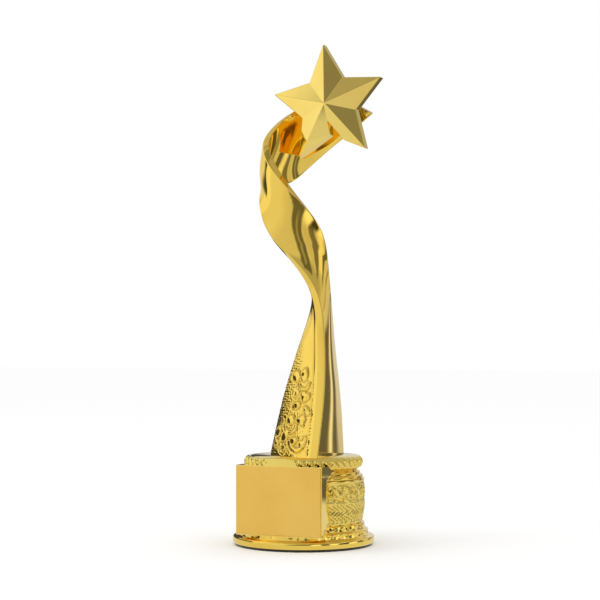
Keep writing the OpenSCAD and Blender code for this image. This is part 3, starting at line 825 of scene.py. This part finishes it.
def surround_level(azimuth, height):
    """Brightness of the surround's painted reflections: softly brighter on the left, dimmer high up and
    low down on the right, a painted window on the left, and the strips."""
    left = np.clip((10 - azimuth) / 20, 0, 1) * np.clip((azimuth + 180) / 60, 0, 1)
    level = BACKGROUND_LEVEL + 0.14 * left
    level = level - 0.22 * np.clip((height - 290) / 60, 0, 1)
    level = level - 0.05 * np.clip((80 - height) / 60, 0, 1) * np.clip((azimuth + 70) / 20, 0, 1)
    painted_window = np.clip((PAINTED_WINDOW_HALF - np.abs(azimuth - PAINTED_WINDOW_AT)) / 6, 0, 1)
    painted_window *= np.clip((height - 60) / 60, 0, 1)
    painted_window *= np.clip((760 - height) / 60, 0, 1)
    level = level + (PAINTED_WINDOW_LEVEL - level) * painted_window
    for brightness, places in STRIPS:
        z, middle, half = (np.array(v, float) for v in zip(*places))
        centre = np.interp(height, z, middle)
        width = np.interp(height, z, half)
        inside = np.clip((width - np.abs(azimuth - centre)) / 2.5 + 0.5, 0, 1)
        inside *= np.clip((height - z[0] + 15) / 15, 0, 1) * np.clip((z[-1] + 30 - height) / 30, 0, 1)
        level = level + (brightness - level) * inside
    return level


def glow_material(name):
    """Glowing surface whose brightness is painted on its corners."""
    material = bpy.data.materials.new(name)
    material.use_nodes = True
    tree = material.node_tree
    tree.nodes.clear()
    painted = node(tree, "ShaderNodeAttribute", attribute_name="level")
    glow = node(tree, "ShaderNodeEmission")
    out = node(tree, "ShaderNodeOutputMaterial")
    tree.links.new(painted.outputs["Fac"], glow.inputs["Strength"])
    tree.links.new(glow.outputs["Emission"], out.inputs["Surface"])
    return material


def reflection_card(name, points, faces, levels, material):
    """A glowing card that only reflections see."""
    mesh = bpy.data.meshes.new(name)
    mesh.from_pydata(points, [], faces)
    mesh.materials.append(material)
    paint = mesh.attributes.new("level", "FLOAT", "POINT")
    paint.data.foreach_set("value", levels)
    card = bpy.data.objects.new(name, mesh)
    bpy.context.scene.collection.objects.link(card)
    card.visible_camera = False
    card.visible_diffuse = False
    card.visible_shadow = False
    card.visible_transmission = False


def build_surround():
    """Round wall, ceiling and floor card, seen only in reflections, whose glow paints the gold's bright
    and dark streaks, with a painted dark wedge on the floor card.
    """
    material = glow_material("surround")
    azimuths = np.arange(-180, 180, 1.0)
    heights = np.concatenate([np.arange(0, 0.5, 0.01), np.arange(0.5, SURROUND_TOP + 0.01, 0.05)])
    a, z = np.meshgrid(azimuths, heights)
    turn = np.radians(a)
    points = np.stack([SURROUND_RADIUS * np.sin(turn), -SURROUND_RADIUS * np.cos(turn), z + MM], axis=-1)
    levels = surround_level(a, z / MM).ravel()
    faces = grid_faces(len(heights), len(azimuths))
    reflection_card("surround_wall", points.reshape(-1, 3).tolist(), faces, levels, material)
    rim = [(SURROUND_RADIUS * math.sin(t), -SURROUND_RADIUS * math.cos(t), SURROUND_TOP)
           for t in np.radians(azimuths)]
    whole = [tuple(range(len(rim)))]
    reflection_card("surround_ceiling", rim, whole, [CEILING_LEVEL] * len(rim), material)

    radii = np.linspace(0.02, SURROUND_RADIUS, 30)
    a, r = np.meshgrid(azimuths, radii)
    turn = np.radians(a)
    points = np.stack([r * np.sin(turn), -r * np.cos(turn), np.full_like(r, 0.4 * MM)], axis=-1)
    # Painted dark wedge on the floor card, seen only as a dark reflection in the gold
    shaded = np.clip((19 - np.abs(a - 156)) / 4, 0, 1) * np.clip((r - 0.23) / 0.05, 0, 1)
    levels = FLOOR_LEVEL + (PAINTED_WEDGE_LEVEL - FLOOR_LEVEL) * shaded
    faces = grid_faces(len(radii), len(azimuths))
    reflection_card("surround_floor", points.reshape(-1, 3).tolist(), faces, levels.ravel(), material)


def build_studio():
    """White floor and surroundings, one soft lamp, and the surround for reflections."""
    world = bpy.data.worlds.new("studio_white")
    world.use_nodes = True
    world.node_tree.nodes["Background"].inputs["Color"].default_value = (1, 1, 1, 1)
    world.node_tree.nodes["Background"].inputs["Strength"].default_value = 1.0
    bpy.context.scene.world = world

    material = bpy.data.materials.new("white_floor")
    material.use_nodes = True
    shader = material.node_tree.nodes["Principled BSDF"]
    shader.inputs["Base Color"].default_value = (0.98, 0.98, 0.98, 1)
    shader.inputs["Roughness"].default_value = 0.8
    shader.inputs["Specular IOR Level"].default_value = 0.0
    mesh = bpy.data.meshes.new("floor")
    mesh.from_pydata([(-6, -6, 0), (6, -6, 0), (6, 6, 0), (-6, 6, 0)], [], [(0, 1, 2, 3)])
    mesh.materials.append(material)
    floor = bpy.data.objects.new("floor", mesh)
    bpy.context.scene.collection.objects.link(floor)

    lamp = bpy.data.lights.new("key_left", "AREA")
    lamp.size = 0.8
    lamp.energy = 2.5
    holder = bpy.data.objects.new("key_left", lamp)
    holder.location = LAMP_PLACE
    aim = Vector(LAMP_AIM) - holder.location
    holder.rotation_euler = aim.to_track_quat("-Z", "Y").to_euler()
    bpy.context.scene.collection.objects.link(holder)
    build_surround()


def build_camera():
    """Level camera turned to the right of the nameplate."""
    data = bpy.data.cameras.new("camera")
    data.lens = CAMERA_LENS
    data.sensor_width = 36
    data.shift_x, data.shift_y = CAMERA_SHIFT
    a = math.radians(CAMERA_AZIMUTH)
    camera = bpy.data.objects.new("camera", data)
    camera.location = (CAMERA_DISTANCE * MM * math.sin(a), -CAMERA_DISTANCE * MM * math.cos(a),
                       CAMERA_HEIGHT * MM)
    camera.rotation_euler = (math.pi / 2, 0, a)
    bpy.context.scene.collection.objects.link(camera)
    bpy.context.scene.camera = camera


# ------------------------------------------------------------------ the trophy

def finish_cad_nodes(frame, materials):
    """Gives every CAD node that still shows the finish of its slot."""
    slots = {part["node"]: part["material_slot"] for part in frame["record"]["subparts"]}
    for name, piece in frame["nodes"].items():
        piece.data.materials.clear()
        piece.data.materials.append(materials[slots[name]])


def main():
    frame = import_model()
    scene = bpy.context.scene
    scene.view_settings.view_transform = "Standard"

    build_camera()
    build_studio()
    materials = make_materials()
    finish_cad_nodes(frame, materials)

    flat = -cad_mm("drum")[0][1]
    build_foot(materials["deep_gold"], flat)
    build_drum(materials["carved_gold"], flat)
    build_neck(materials["deep_gold"], flat)
    build_cap(materials["carved_gold"], flat)
    soften_edges(frame["nodes"]["plaque_block"], 0.8)
    build_nameplate(materials["satin_gold"])
    build_ribbon(cad_mm("top_cap")[1][2], materials["deep_gold"])
    build_boss(materials["deep_gold"])
    build_star(materials["gold"])


main()
